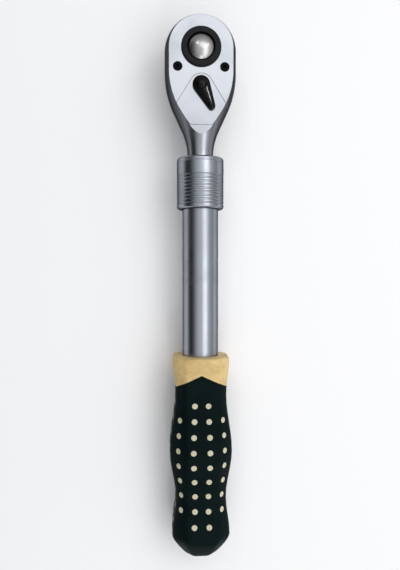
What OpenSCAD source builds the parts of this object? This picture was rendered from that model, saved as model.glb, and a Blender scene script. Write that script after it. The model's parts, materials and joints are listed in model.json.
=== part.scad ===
// Telescopic ratchet wrench with a half inch square drive. All sizes are in millimetres.
// The origin is the centre of the square drive's tip face. +Z points to the lever side,
// +Y to the round end of the head, and the handle runs along -Y.

/* [Drive] */
// Width across the flats of the square drive
drive_size = 12.7; // [11.8:0.1:14]
// Length of the square drive below its shoulder
drive_len = 15; // [14:0.5:20]
// How much is taken off each corner of the square
drive_corner = 0.5; // [0.2:0.1:0.8]
// Chamfer round the tip of the square
drive_tip = 1; // [0.4:0.1:1.6]
// Height of the round shoulder between head and square
shoulder_h = 0.8; // [0.4:0.1:2]
// How far the round journal stands out past the square's corners
journal_step = 0.9; // [0.5:0.1:1.4]
// Diameter of the detent ball
detent_d = 5; // [4.4:0.1:5.4]
// Height of the detent ball's centre above the tip
detent_h = 7.5; // [7:0.1:9]
// How far the detent ball stands out of the square
detent_out = 0.9; // [0.6:0.05:1]
// How far the detent ball goes below the flat when the button is pressed
detent_sink = 0.1; // [0.05:0.01:0.15]
// Thickness of the lip that keeps the detent ball in
detent_lip = 0.5; // [0.4:0.05:0.6]

/* [Head] */
// Width of the round end of the head
head_w = 40.1; // [39:0.1:46]
// Thickness across the two flat faces
head_t = 19; // [18:0.1:22]
// Length of the straight sides below the gear's centre
side_len = 12; // [9:0.5:16]
// Radius of the shoulders
shoulder_r = 50; // [35:1:60]
// Slope of the sides at their steepest, in degrees
flare_deg = 25; // [23:1:32]
// Radius of the hollow above the neck
throat_r = 34; // [20:1:40]
// From the gear's centre to the lower end of the flat face
face_len = 42.1; // [40:0.1:46]
// Depth of the step at the lower end of the flat face
face_step = 0.4; // [0.2:0.1:0.8]
// Thickness of the wall behind the gear
back_t = 3.5; // [3:0.1:4.5]

/* [Cover plate] */
// Thickness of the cover plate
plate_t = 3; // [2.6:0.1:4]
// Radius of the plate's edge round the lever
plate_arc = 6.2; // [5.9:0.1:7]
// Slope of the plate's lower edges from the tool's length, in degrees
plate_deg = 32; // [26:1:40]
// Width of the seam between plate and head
plate_seam = 0.14; // [0.04:0.02:0.2]
// Wall between the gear's room and the cover screws
screw_wall = 0.96; // [0.7:0.02:1.6]
// Place of the cover screws round the gear, in degrees from the handle
screw_deg = 50.3; // [49:0.1:54]
// Diameter of the screws' countersunk heads
screw_head = 5.2; // [4.6:0.1:5.6]
// Diameter of the screws' threads
screw_d = 2.8; // [2.5:0.1:3]
// Length of the cover screws
screw_len = 8; // [7:0.5:12]
// Width of the hexagon sockets
screw_key = 2; // [1.5:0.1:2.5]

/* [Ratchet gear] */
// Number of teeth on the gear
teeth = 72; // [60:12:84]
// Radius over the teeth
gear_r = 14.1; // [13.6:0.1:15.2]
// Radius of the hub ring that shows in the cover plate
hub_r = 10.9; // [10.4:0.1:11.6]
// How far the hub stands above the head's face
hub_h = 1.4; // [0.8:0.1:2.4]
// Bevel on the rim of the hub
hub_bevel = 0.5; // [0.2:0.1:0.8]
// Thickness of the thrust washer
washer_t = 0.4; // [0.3:0.05:0.8]
// From the teeth's roots to the washer's rim
washer_inset = 0.4; // [0.2:0.05:0.8]

/* [Release button] */
// Diameter of the domed button
button_d = 13.9; // [12:0.1:14]
// Height of the dome
dome_h = 2.5; // [2:0.1:4.5]
// How far the dome's rim lies below the hub's rim
button_sink = 0.7; // [0.2:0.1:1.5]
// Height of the plain rim below the dome
button_rim = 2; // [1:0.1:3]
// Length of the button's rod below the detent ball
rod_tail = 2; // [1.5:0.1:2.4]
// How far the button's rod stands out past its cone
rod_step = 0.35; // [0.3:0.01:0.4]
// Gap round the button in its recess
button_gap = 0.8; // [0.4:0.1:1.4]
// Millimetres of button travel for each millimetre of ball travel
button_ratio = 3; // [2.5:0.5:3.5]
// Length of the button spring with the button up
button_spring_len = 7; // [6.5:0.1:8]
// Wire of the button spring
button_wire = 0.7; // [0.5:0.05:0.8]
// Turns of the button spring
button_turns = 4; // [3:1:5]

/* [Reversing lever] */
// From the gear's teeth to the lever's axis
lever_at = 6.4; // [6.1:0.1:7.6]
// From the lever's axis to the centre of its tip
lever_len = 13; // [12:0.1:18]
// Diameter of the lever's hub
lever_hub = 9.6; // [9.2:0.1:11]
// Diameter of the domed boss on the lever's hub
boss_d = 6.6; // [5.6:0.1:7.4]
// Height of the boss above the arm
boss_h = 0.9; // [0.7:0.1:1.3]
// Fall of the lever's back toward its tip, in degrees
lever_fall = 4; // [0:0.5:6]
// Diameter of the lever's tip
lever_tip = 4.2; // [3:0.1:6]
// Height of the lever above its running gap
lever_t = 3.8; // [3:0.1:5]
// Radius of the crown along the lever's back
lever_crown = 9; // [7:0.5:16]
// Swing of the lever to each side, in degrees
lever_swing = 25.5; // [22:0.5:28]
// Diameter of the lever's stem in the face of the head
stem_d = 8.8; // [8.6:0.1:9]
// Diameter of the lever's stem where the pawl straddles it
drum_d = 7.6; // [7.2:0.1:7.8]
// Diameter of the pivot at the lower end of the stem
pivot_d = 5; // [4:0.1:6]
// Depth of the pivot's seat in the back wall
pivot_len = 2.4; // [1.6:0.1:2.4]
// Diameter of the snap ring's wire section
ring_wire = 0.8; // [0.6:0.05:1]
// Diameter of the plunger in the stem
plunger_d = 2.4; // [2:0.1:2.6]
// How far the plunger stands out of the stem
plunger_out = 1.1; // [0.8:0.05:1.2]
// Wall between the plunger's hole and the back of the stem
plunger_wall = 1.3; // [1.2:0.05:1.6]
// Length of the plunger behind its round nose
plunger_len = 2.5; // [2:0.1:2.7]
// Wire of the plunger spring
plunger_wire = 0.4; // [0.3:0.05:0.5]
// Turns of the plunger spring
plunger_turns = 4; // [3:1:5]

/* [Pawl] */
// Rocking of the pawl to each side, in degrees
pawl_rock = 3.5; // [3:0.1:3.8]
// Thickness of the pawl behind the gear's teeth
pawl_t = 3.3; // [2.9:0.1:3.5]
// Depth of the hollow between the pawl's two sets of teeth
pawl_relief = 0.55; // [0.4:0.05:0.6]
// Where the pawl's teeth start, in degrees from the middle
pad_start = 19; // [18:0.5:21]
// Where the pawl's teeth end, in degrees from the middle
pad_end = 36.5; // [33:0.5:37]
// Width of the pawl round the lever's stem
saddle_w = 12; // [11.4:0.1:12.6]

/* [Telescope] */
// Diameter of the sliding bar
bar_d = 14.5; // [13.5:0.1:15]
// Number of index positions
index_count = 7; // [5:1:8]
// Distance between index positions
index_pitch = 23; // [18:0.5:24]
// Length of the bar past its last index pocket
bar_tail = 20; // [16:1:30]
// Outer diameter of the tube
tube_d = 20.2; // [19.6:0.1:20.6]
// Length of tube that shows between collar and grip
tube_show = 82.6; // [70:0.1:110]
// Diameter of the lock balls
lock_d = 4.4; // [4:0.1:4.6]
// Depth of the index pockets in the bar
lock_depth = 1.5; // [1.3:0.05:1.7]
// How far the lock balls move outward
lock_lift = 1; // [0.9:0.05:1.1]
// Length of the plug in the tube's lower end
plug_len = 8; // [5:0.5:12]
// Free space between the bar's end and the plug
plug_gap = 12; // [4:0.5:16]

/* [Collar] */
// Diameter of the locking collar
collar_d = 26.4; // [25.6:0.1:30]
// Length of the locking collar
collar_len = 28.6; // [28.5:0.1:34]
// Gap between collar and head with the bar pushed in
collar_gap = 1; // [0.6:0.1:2]
// Pull of the collar that frees the bar
collar_pull = 4; // [3.5:0.1:4.4]
// From the collar's top to the lock balls
lock_y = 23.8; // [23.4:0.1:24.4]
// Rounding of the collar's rims
collar_round = 1.5; // [0.8:0.1:1.7]
// Thickness of the collar's cap
cap_t = 2.8; // [2:0.1:3]
// Thickness of the collar's inner lip
lip_t = 1.8; // [1.5:0.1:2]
// From the end of the lock's cone to the inner lip
lip_at = 3; // [2.8:0.1:3.4]
// From the collar's top to the line round its rim
rim_at = 2.3; // [2:0.1:3]
// Thickness of the snap ring on the tube
stop_t = 1; // [0.8:0.1:1.2]
// Gap round the snap ring in the collar
stop_gap = 0.3; // [0.2:0.05:0.5]
// Length of tube above the snap ring
tube_lead = 1.2; // [1:0.1:1.4]
// Depth of the snap ring's groove in the tube
stop_groove = 0.7; // [0.5:0.05:0.9]
// Number of grooves round the collar
rib_count = 9; // [7:1:9]
// Distance between the grooves
rib_pitch = 1.94; // [1.7:0.02:2]
// Radius of each groove
rib_r = 0.55; // [0.4:0.05:0.7]
// Depth of each groove
rib_depth = 0.4; // [0.2:0.05:0.5]
// From the collar's lower end to the first groove
rib_start = 2.9; // [2:0.1:4]
// Wire of the collar spring
collar_wire = 0.9; // [0.7:0.05:1]
// Turns of the collar spring
collar_turns = 5; // [4:1:5]

/* [Grip] */
// Length of the grip
grip_len = 114.3; // [112:0.1:124]
// Width of the grip at its top
grip_top = 31.7; // [30:0.1:36]
// Width of the grip at its neck
grip_neck = 28.4; // [28:0.1:32]
// From the grip's top to the neck
neck_at = 21; // [18:0.5:26]
// Width of the grip at its belly
grip_belly = 34.9; // [32:0.1:38]
// From the grip's top to the belly
belly_at = 53; // [46:0.5:58]
// Width of the grip at its waist
grip_waist = 28.1; // [28:0.1:32]
// From the grip's top to the waist
waist_at = 79; // [72:0.5:84]
// Width of the grip at its flared end
grip_flare = 32.4; // [30:0.1:36]
// From the grip's top to the flare
flare_at = 100; // [96:0.5:106]
// Length of the domed end
dome_len = 14.3; // [10:0.1:18]
// Width of each of the four wide flats
flat_w = 17; // [14:0.1:18]
// Softening of the edges between the flats
edge_soft = 1.1; // [0.5:0.1:2]
// Rounding of the grip's top rim
top_round = 1.2; // [0.5:0.1:2]
// From the grip's top to the sleeve's points
sleeve_at = 9.3; // [8:0.1:14]
// Slope of the sleeve's points, millimetres down for each millimetre across
sleeve_slope = 0.47; // [0.2:0.01:0.6]
// Thickness of the rubber sleeve over the flats
sleeve_t = 2.4; // [2:0.1:2.6]
// Extra thickness of the sleeve at its end
sleeve_end = 0.8; // [0.4:0.1:1.6]
// Width of the stepped band above the sleeve's edge
band_w = 2.4; // [1.6:0.1:3]
// Depth of the stepped band
band_step = 0.15; // [0.1:0.05:0.3]
// Diameter of the dots
dot_d = 3.3; // [2.4:0.1:4]
// How far the dots stand out of the sleeve
dot_out = 0.1; // [0.1:0.05:0.5]
// Rows of dots
dot_rows = 9; // [7:1:9]
// Distance between the rows of dots
dot_pitch = 8.35; // [7:0.01:8.4]
// From the grip's top to the first row of dots
dot_at = 26.1; // [25:0.1:28]
// Sideways place of the dots as a share of the grip's half width there
dot_spread = 0.26; // [0.2:0.01:0.3]

/* [Clearances] */
// Radial clearance of turning and sliding fits
fit = 0.06; // [0.04:0.01:0.1]
// Clearance of a ball in its hole or pocket
ball_fit = 0.05; // [0.04:0.01:0.08]
// Gap between the pawl's teeth and the gear's
mesh_gap = 0.05; // [0.03:0.01:0.07]
// Axial play of the pieces between head and cover plate
play = 0.15; // [0.1:0.05:0.25]
// Room round the gear's teeth in the head
gear_gap = 0.3; // [0.2:0.05:0.4]
// Room below the button's rod when it is pressed
rod_gap = 0.3; // [0.2:0.05:0.4]
// Gap between the pawl and the lever's stem
drum_gap = 0.1; // [0.08:0.01:0.14]
// Gap round the plunger's nose in the pawl's notches
notch_gap = 0.15; // [0.12:0.01:0.16]
// From the stem to the centre of each of the pawl's notches
notch_at = 0.2; // [0.16:0.01:0.24]
// Room round the pawl in its pocket
pocket_gap = 0.4; // [0.3:0.05:0.5]
// Gap below the reversing lever
lever_gap = 0.3; // [0.2:0.05:0.6]
// Gap between the foot of each dot and the grip's core
dot_seat = 0.6; // [0.55:0.05:0.9]
// Glue line or press fit between pieces that don't move
seat = 0.02; // [0.01:0.01:0.05]

/* [Hidden] */
$fn = 96;

// Heights are measured from the tool's long axis, which lies this far above the drive's tip
axis_z = drive_len + shoulder_h + head_t / 2;
face_z = head_t / 2;
plate_z = face_z - plate_t;
floor_z = back_t - face_z;
tip_z = -axis_z;
far = 400;
blend = 0.01;

// Head outline
head_r = head_w / 2;
bar_r = bar_d / 2;
flare_drop = head_r - bar_r - (shoulder_r + throat_r) * (1 - cos(flare_deg));
flare_run = flare_drop / tan(flare_deg);
shoulder_end = -side_len - shoulder_r * sin(flare_deg);
flare_end = shoulder_end - flare_run;
neck_y = flare_end - throat_r * sin(flare_deg);
shoulder_end_r = head_r - shoulder_r * (1 - cos(flare_deg));
flare_end_r = shoulder_end_r - flare_drop;
flare_lap = (flare_end - neck_y) / 7;

// Ratchet
tooth_pitch = 2 * PI * gear_r / teeth;
tooth_h = 0.38 * tooth_pitch;
tooth_land = 0.05 * tooth_pitch;
cavity_r = gear_r + gear_gap;
pawl_r = gear_r + pawl_t;
lever_y = gear_r + lever_at;
screw_r = cavity_r + screw_d / 2 + screw_wall;
screw_x = screw_r * sin(screw_deg);
screw_y = screw_r * cos(screw_deg);
journal_r = drive_size / sqrt(2) - drive_corner + journal_step;
gear_lo = floor_z + play;
gear_hi = plate_z - washer_t - play;
hub_top = face_z + hub_h;
washer_r = gear_r - tooth_h - washer_inset;

// Detent ball and button
detent_r = detent_d / 2;
detent_x = drive_size / 2 + detent_out - detent_r;
detent_z = tip_z + detent_h;
detent_travel = detent_out + detent_sink;
button_travel = detent_travel * button_ratio;
cone_r = detent_x - (detent_r + ball_fit) * sqrt(1 + 1 / (button_ratio * button_ratio));
rod_r = cone_r + rod_step;
button_lo = hub_top - button_sink - button_rim;
recess_r = button_d / 2 + button_gap;
recess_z = button_lo - button_spring_len;
dome_r = (button_d * button_d / 4 + dome_h * dome_h) / (2 * dome_h);

// Lever and pawl
stem_r = stem_d / 2;
drum_r = drum_d / 2;
pivot_r = pivot_d / 2;
plunger_r = plunger_d / 2;
plunger_tip = drum_r + plunger_out;
nose_at = plunger_tip - plunger_r;
plunger_z = (floor_z + plate_z) / 2;
plunger_hole = drum_r - plunger_wall;
snap_z = (plate_z + face_z) / 2;
lever_z = face_z + lever_gap;
boss_dome = boss_h * 2 / 3;
boss_r = (boss_d * boss_d / 4 + boss_dome * boss_dome) / (2 * boss_dome);
notch_deg = lever_swing - pawl_rock;

// Telescope and collar
tube_r = tube_d / 2;
tube_bore = bar_r + fit;
lock_r = lock_d / 2;
lock_x = bar_r - lock_depth + lock_r;
travel = index_pitch * (index_count - 1);
collar_y = neck_y - collar_gap;
collar_end = collar_y - collar_len;
ball_y = collar_y - lock_y;
lock_slope = lock_lift / collar_pull;
lock_cone = lock_x + (lock_r + ball_fit) * sqrt(1 + lock_slope * lock_slope);
land_r = tube_r + fit;
deep_r = lock_cone + lock_lift + ball_fit;
lip_y = ball_y + collar_pull + lip_at;
stop_y = lip_y + lip_t;
stop_r = deep_r - stop_gap;
tube_top = stop_y + stop_t + tube_lead;
cap_y = collar_y - cap_t;
grip_y = collar_end - tube_show;
bar_end = ball_y - travel - bar_tail;
tube_end = bar_end - plug_gap - plug_len;
key_x = lock_x + lock_lift + ball_fit;
key_r = lock_r + 2 * ball_fit;

// Grip
stations = [[0, grip_top / 2], [neck_at, grip_neck / 2], [belly_at, grip_belly / 2],
  [waist_at, grip_waist / 2], [flare_at, grip_flare / 2], [grip_len, grip_flare / 2]];
flat_r = flat_w / 2;
core_end = grip_len - sleeve_t - sleeve_end;
dome_at = grip_len - dome_len;
columns = 24;
wire_sides = 6;

// Turns a profile drawn as (radius, place along Y) about the tool's long axis
module turn_y() rotate([-90, 0, 0]) rotate_extrude() children();

// Places a shape on the lever's axis
module at_lever() translate([0, -lever_y, 0]) children();

// Turns a shape about the lever's axis
module about_lever(deg) at_lever() rotate(deg) translate([0, lever_y, 0]) children();

// Point at a radius, with the angle measured from -Y toward +X
function polar(r, deg) = [r * sin(deg), -r * cos(deg)];

// Outline of the gear with 45 degree flanks, made larger by grow on all sides
function gear_points(grow) = [
  for (i = [0:teeth - 1])
    for (c = [[-1, 0], [-1, 1], [1, 1], [1, 0]])
      let (r = gear_r + grow - (1 - c[1]) * tooth_h)
      let (half = tooth_land + (1 - c[1]) * tooth_h + grow * (sqrt(2) - 1))
      polar(r, 360 * i / teeth + c[0] * half / r * 180 / PI)];

// Wedge of the plane within deg of -Y
module wedge(deg) polygon([[0, 0], polar(far, -deg), polar(far, deg)]);

// One unbroken wire coil along Z, resting between z = 0 and z = length
function coil_ring(i, mean, wire, length, turns) =
  let (a = 360 * i / 8)
  let (z = wire / 2 + (length - wire) * i / (8 * turns))
  [for (k = [0:wire_sides - 1])
    let (b = 360 * k / wire_sides)
    [(mean + wire / 2 * cos(b)) * cos(a), (mean + wire / 2 * cos(b)) * sin(a), z + wire / 2 * sin(b)]];

module coil(name, mean, wire, length, turns) {
  last = 8 * turns;
  rings = [for (i = [0:last]) coil_ring(i, mean, wire, length, turns)];
  gaps = [for (i = [0:last - 8]) for (p = rings[i]) for (q = rings[i + 8]) norm(p - q)];
  echo(str(name, " least gap between turns"), min(gaps));
  points = [for (ring = rings) for (p = ring) p];
  n = wire_sides;
  sides = [for (i = [0:last - 1]) for (k = [0:n - 1])
    let (a = n * i + k)
    let (b = n * i + (k + 1) % n)
    each [[a, a + n, b], [b, a + n, b + n]]];
  ends = [for (k = [1:n - 2]) each [[0, k, k + 1], [n * last, n * last + k + 1, n * last + k]]];
  polyhedron(points, concat(sides, ends));
}

// Profile of the head from its straight sides to the neck. Neighbouring stretches overlap, and
// cross by the width of blend where they are tangent
module head_profile() intersection() {
  translate([0, -far]) square([far, 2 * far]);
  union() {
    translate([0, -side_len]) square([head_r - blend, side_len]);
    intersection() {
      translate([head_r - shoulder_r, -side_len]) circle(shoulder_r);
      translate([0, flare_end]) square([head_r, side_len / -2 - flare_end]);
    }
    polygon([[0, shoulder_end], [shoulder_end_r - blend, shoulder_end],
      [flare_end_r + blend - flare_lap * tan(flare_deg), flare_end - flare_lap], [0, flare_end - flare_lap]]);
    difference() {
      translate([0, neck_y]) square([2 * flare_end_r, flare_end - neck_y]);
      translate([bar_r + throat_r - blend, neck_y]) circle(throat_r);
    }
  }
}

// Turned head with its two flats, which step down at their lower end
module head_form() intersection() {
  union() {
    rotate(-90) sphere(head_r);
    turn_y() head_profile();
  }
  union() {
    translate([-far, -face_len, -face_z]) cube([2 * far, far, head_t]);
    translate([-far, -far, face_step - face_z]) cube([2 * far, far, head_t - 2 * face_step]);
  }
}

// Part of the plane that the head keeps at full height below the cover plate
module tongue(seam) {
  r = plate_arc + seam - blend;
  top = [r * cos(plate_deg), r * sin(plate_deg)];
  low = top + far * [sin(plate_deg), -cos(plate_deg)];
  at_lever() {
    circle(r + blend);
    polygon([[-top[0], top[1]], top, low, [-low[0], low[1]]]);
  }
}

// Space above the head's floor that the cover plate takes
module plate_space(seam) translate([0, 0, plate_z]) linear_extrude(far) difference() {
  translate([-far, -far]) square(2 * far);
  tongue(seam);
}

// Puts a shape at each cover screw
module at_screws() for (side = [-1, 1]) translate([side * screw_x, -screw_y, 0]) children();

// Shank and countersunk head of a cover screw, made larger by grow
module screw_form(grow) {
  translate([0, 0, face_z - screw_len - grow]) cylinder(r = screw_d / 2 + grow, h = screw_len);
  head_h = (screw_head - screw_d) / 2;
  translate([0, 0, face_z - head_h]) cylinder(r1 = screw_d / 2 + grow, r2 = screw_head / 2 + grow, h = head_h);
}

// Blank of the pawl, made larger by grow on all sides
module pawl_blank(grow) {
  intersection() {
    difference() {
      circle(pawl_r + grow);
      circle(gear_r - 2 * tooth_h);
    }
    wedge(pad_end + asin(grow / pawl_r));
  }
  translate([-saddle_w / 2 - grow, -lever_y - grow]) square([saddle_w + 2 * grow, lever_y - gear_r + grow]);
}

// Room that the pawl needs as it rocks
module pawl_pocket() translate([0, 0, floor_z]) linear_extrude(plate_z - floor_z) {
  for (deg = [-pawl_rock, 0, pawl_rock]) about_lever(deg) pawl_blank(pocket_gap);
  at_lever() circle(stem_r + fit);
}

// Index pockets and keyway along one side of the bar
module bar_track(side) {
  for (i = [0:index_count - 1])
    translate([side * lock_x, ball_y - i * index_pitch, 0]) sphere(key_r);
  translate([side * key_x, ball_y + lock_depth / 3, 0]) rotate([90, 0, 0])
    cylinder(r = key_r, h = travel + lock_depth * 2 / 3);
}

module head_body() color("silver") translate([0, 0, axis_z]) difference() {
  union() {
    head_form();
    turn_y() translate([0, bar_end]) square([bar_r, neck_y + 2 - bar_end]);
  }
  plate_space(0);
  translate([0, 0, floor_z]) cylinder(r = cavity_r, h = plate_z - floor_z);
  translate([0, 0, -far]) cylinder(r = journal_r + fit, h = far);
  pawl_pocket();
  at_lever() {
    translate([0, 0, floor_z - pivot_len - play]) cylinder(r = pivot_r + fit, h = far);
    translate([0, 0, plate_z - play]) cylinder(r = stem_r + fit, h = far);
    translate([0, 0, snap_z - ring_wire / 2 - fit]) cylinder(r = stem_r + ring_wire / 2 + fit, h = ring_wire + 2 * fit);
  }
  at_screws() screw_form(seat);
  for (side = [-1, 1]) bar_track(side);
}

module cover_plate() color("gainsboro") translate([0, 0, axis_z]) difference() {
  intersection() {
    head_form();
    plate_space(plate_seam);
  }
  cylinder(r = hub_r + fit, h = far);
  at_screws() screw_form(seat);
}

module cover_screws() color("dimgray") translate([0, 0, axis_z]) at_screws() difference() {
  screw_form(0);
  translate([0, 0, face_z - screw_key * 0.7]) cylinder(r = screw_key / sqrt(3), h = far, $fn = 6);
}

module thrust_washer() color("goldenrod") translate([0, 0, axis_z + plate_z - washer_t]) difference() {
  cylinder(r = washer_r, h = washer_t);
  translate([0, 0, -1]) cylinder(r = hub_r + fit, h = washer_t + 2);
}

// Square drive with softened corners and a chamfered tip
module drive_square() intersection() {
  translate([-drive_size / 2, -drive_size / 2, tip_z]) cube([drive_size, drive_size, drive_len + shoulder_h]);
  translate([0, 0, tip_z]) cylinder(r = drive_size / sqrt(2) - drive_corner, h = far);
  translate([0, 0, tip_z]) cylinder(r1 = drive_size / 2 - drive_tip / 4, r2 = drive_size / 2 + far, h = far + drive_tip / 4);
}

// Hole for the detent ball, with a lip at the flat that keeps the ball in
module detent_hole() translate([0, 0, detent_z]) rotate([0, 90, 0]) {
  lip = sqrt(detent_r * detent_r - pow(drive_size / 2 - detent_lip - detent_x, 2)) + ball_fit;
  cylinder(r = lip, h = drive_size);
  cylinder(r = detent_r + ball_fit, h = drive_size / 2 - detent_lip);
}

module drive_gear() color("darkslategray") translate([0, 0, axis_z]) difference() {
  union() {
    translate([0, 0, gear_lo]) linear_extrude(gear_hi - gear_lo) polygon(gear_points(0));
    translate([0, 0, gear_lo]) cylinder(r = hub_r, h = hub_top - hub_bevel - gear_lo);
    translate([0, 0, hub_top - hub_bevel]) cylinder(r1 = hub_r, r2 = hub_r - hub_bevel, h = hub_bevel);
    translate([0, 0, -face_z - shoulder_h]) cylinder(r = journal_r, h = face_z + shoulder_h + gear_lo);
    drive_square();
  }
  translate([0, 0, recess_z]) cylinder(r = recess_r, h = far);
  translate([0, 0, detent_z - rod_tail - button_travel - rod_gap]) cylinder(r = rod_r + fit, h = far);
  detent_hole();
}

module release_button() color("whitesmoke") translate([0, 0, axis_z]) {
  rim_z = button_lo + button_rim;
  waist_r = cone_r - detent_travel;
  waist_top = detent_z + button_travel + 0.76 * detent_r;
  intersection() {
    translate([0, 0, rim_z + dome_h - dome_r]) sphere(dome_r);
    translate([0, 0, rim_z]) cylinder(r = button_d, h = button_d);
  }
  translate([0, 0, button_lo]) cylinder(r = button_d / 2, h = button_rim);
  rotate_extrude() polygon([[0, detent_z - rod_tail], [rod_r, detent_z - rod_tail],
    [rod_r, detent_z - (rod_r - cone_r) * button_ratio], [waist_r, detent_z + button_travel],
    [waist_r, waist_top], [rod_r, waist_top + 0.24 * detent_r], [rod_r, button_lo], [0, button_lo]]);
}

module button_spring() color("slategray") translate([0, 0, axis_z + recess_z + fit]) {
  mean = (rod_r + 3 * fit) / cos(22.5) + button_wire / 2;
  coil("button spring", mean, button_wire, button_spring_len - 2 * fit, button_turns);
}

module detent_ball() color("lightsteelblue") translate([detent_x, 0, axis_z + detent_z]) sphere(detent_r);

// Teardrop outline of the lever, with its arm along -Y
module lever_outline() {
  hub = lever_hub / 2;
  tip = lever_tip / 2;
  tilt = asin((hub - tip) / lever_len);
  circle(hub);
  translate([0, -lever_len]) circle(tip);
  polygon([for (c = [[0, hub, 1], [lever_len, tip, 1], [lever_len, tip, -1], [0, hub, -1]])
    [c[2] * (c[1] - blend) * cos(tilt), -c[0] - c[1] * sin(tilt)]]);
}

module reversing_lever() color("black") translate([0, 0, axis_z]) at_lever() rotate(lever_swing) difference() {
  union() {
    intersection() {
      translate([0, 0, lever_z]) linear_extrude(lever_t) lever_outline();
      translate([0, 0, lever_z + lever_t - boss_h]) rotate([90 + lever_fall, 0, 0])
        translate([0, -lever_crown, -far / 2]) cylinder(r = lever_crown, h = far);
    }
    intersection() {
      translate([0, 0, lever_z]) cylinder(r = boss_d / 2, h = lever_t);
      translate([0, 0, lever_z + lever_t - boss_r]) sphere(boss_r);
    }
    translate([0, 0, plate_z]) cylinder(r = stem_r, h = lever_z - plate_z);
    translate([0, 0, gear_lo]) cylinder(r = drum_r, h = plate_z - gear_lo);
    translate([0, 0, floor_z - pivot_len]) cylinder(r = pivot_r, h = pivot_len + 1);
  }
  translate([0, 0, snap_z - ring_wire / 2 - fit]) difference() {
    cylinder(r = stem_d, h = ring_wire + 2 * fit);
    cylinder(r = stem_r - ring_wire / 2 - fit, h = far, center = true);
  }
  translate([0, -plunger_hole, plunger_z]) rotate([-90, 0, 0]) cylinder(r = plunger_r + ball_fit, h = far);
}

module lever_snap_ring() color("slategray") translate([0, 0, axis_z + snap_z - ring_wire / 2]) at_lever()
  rotate(20 - 90) rotate_extrude(angle = 320) translate([stem_r - ring_wire / 2, 0]) square(ring_wire);

// Puts a shape that points along +Z on the plunger's axis, pointing at the pawl
module at_plunger() translate([0, 0, axis_z + plunger_z]) at_lever() rotate(lever_swing) rotate([-90, 0, 0]) children();

module lever_plunger() color("lightsteelblue") at_plunger() {
  translate([0, 0, nose_at]) sphere(plunger_r);
  translate([0, 0, nose_at - plunger_len]) cylinder(r = plunger_r, h = plunger_len);
}

module plunger_spring() color("slategray") at_plunger() translate([0, 0, -plunger_hole]) {
  length = plunger_hole + nose_at - plunger_len;
  coil("plunger spring", plunger_r - plunger_wire / 2 - ball_fit, plunger_wire, length, plunger_turns);
}

// Pawl in its middle position
module pawl_outline() difference() {
  pawl_blank(0);
  for (deg = [-pawl_rock, pawl_rock]) about_lever(deg) polygon(gear_points(mesh_gap));
  intersection() {
    circle(gear_r + pawl_relief);
    wedge(pad_start);
  }
  at_lever() {
    circle(drum_r + drum_gap);
    intersection() {
      circle(plunger_tip + ball_fit);
      rotate(180) wedge(notch_deg + asin(plunger_r / nose_at) + 1);
    }
    for (side = [-1, 1]) rotate(side * notch_deg) translate([0, drum_r + notch_at]) circle(plunger_r + notch_gap);
  }
}

module pawl() color("gray") translate([0, 0, axis_z + gear_lo]) about_lever(pawl_rock)
  linear_extrude(plate_z - play - gear_lo) pawl_outline();

module outer_tube() color("lightgray") translate([0, 0, axis_z]) difference() {
  turn_y() difference() {
    translate([0, tube_end]) square([tube_r, tube_top - tube_end]);
    translate([0, tube_end - 1]) square([tube_bore, tube_top - tube_end + 2]);
    translate([tube_r - stop_groove, stop_y]) square([tube_r, stop_t + 2 * fit]);
  }
  translate([0, ball_y, 0]) rotate([0, 90, 0]) cylinder(r = lock_r + ball_fit, h = far, center = true);
}

module tube_plug() color("dimgray") translate([0, 0, axis_z]) turn_y()
  translate([0, tube_end]) square([tube_bore - seat, plug_len]);

module collar_snap_ring() color("slategray") translate([0, 0, axis_z]) translate([0, stop_y + fit, 0])
  rotate([-90, 0, 0]) rotate(20) rotate_extrude(angle = 320)
  translate([tube_r - stop_groove + fit, 0]) square([stop_r - tube_r + stop_groove - fit, stop_t]);

// Outer outline of the collar, with rounded rims and grooves
module collar_outline() {
  r = collar_d / 2;
  difference() {
    union() {
      translate([0, collar_end]) square([r - collar_round, collar_len]);
      translate([0, collar_end + collar_round]) square([r, collar_len - 2 * collar_round]);
      for (y = [collar_end + collar_round, collar_y - collar_round])
        translate([r - collar_round, y]) circle(collar_round);
    }
    for (i = [0:rib_count - 1])
      translate([r + rib_r - rib_depth, collar_end + rib_start + i * rib_pitch]) circle(rib_r);
    translate([r + rib_r - rib_depth / 2, collar_y - rim_at]) circle(rib_r);
    translate([-far, -far]) square([far, 2 * far]);
  }
}

module lock_collar() color("silver") translate([0, 0, axis_z]) turn_y() difference() {
  collar_outline();
  translate([0, collar_end - 1]) square([land_r, collar_len]);
  polygon([[0, ball_y - (lock_cone - land_r) / lock_slope], [land_r, ball_y - (lock_cone - land_r) / lock_slope],
    [lock_cone + lock_lift, ball_y + collar_pull], [0, ball_y + collar_pull]]);
  translate([0, ball_y + collar_pull]) square([deep_r, lip_y - ball_y - collar_pull]);
  translate([0, stop_y]) square([deep_r, far]);
}

module collar_cap() color("lightgray") translate([0, 0, axis_z]) turn_y()
  translate([tube_bore + fit, cap_y]) square([deep_r - seat - tube_bore - fit, cap_t]);

module collar_spring() color("slategray") translate([0, tube_top, axis_z]) rotate([-90, 0, 0])
  coil("collar spring", (tube_r + tube_bore) / 2, collar_wire, cap_y - tube_top, collar_turns);

// One of the two balls that lock the bar
module lock_ball(side) color("lightsteelblue") translate([side * lock_x, ball_y, axis_z]) sphere(lock_r);

module lock_ball_left() lock_ball(-1);

module lock_ball_right() lock_ball(1);

// Half width of the grip's flats at a distance from its top
function grip_half(d, i = 0) =
  d <= stations[i + 1][0] || i == len(stations) - 2
    ? stations[i][1] + (stations[i + 1][1] - stations[i][1])
      * (1 - cos(180 * (d - stations[i][0]) / (stations[i + 1][0] - stations[i][0]))) / 2
    : grip_half(d, i + 1);

// Narrowing of the section toward the domed end
function dome_share(d) =
  d < dome_at ? 1 : sqrt(max(0, 1 - pow((d - dome_at) / dome_len, 2)));

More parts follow.
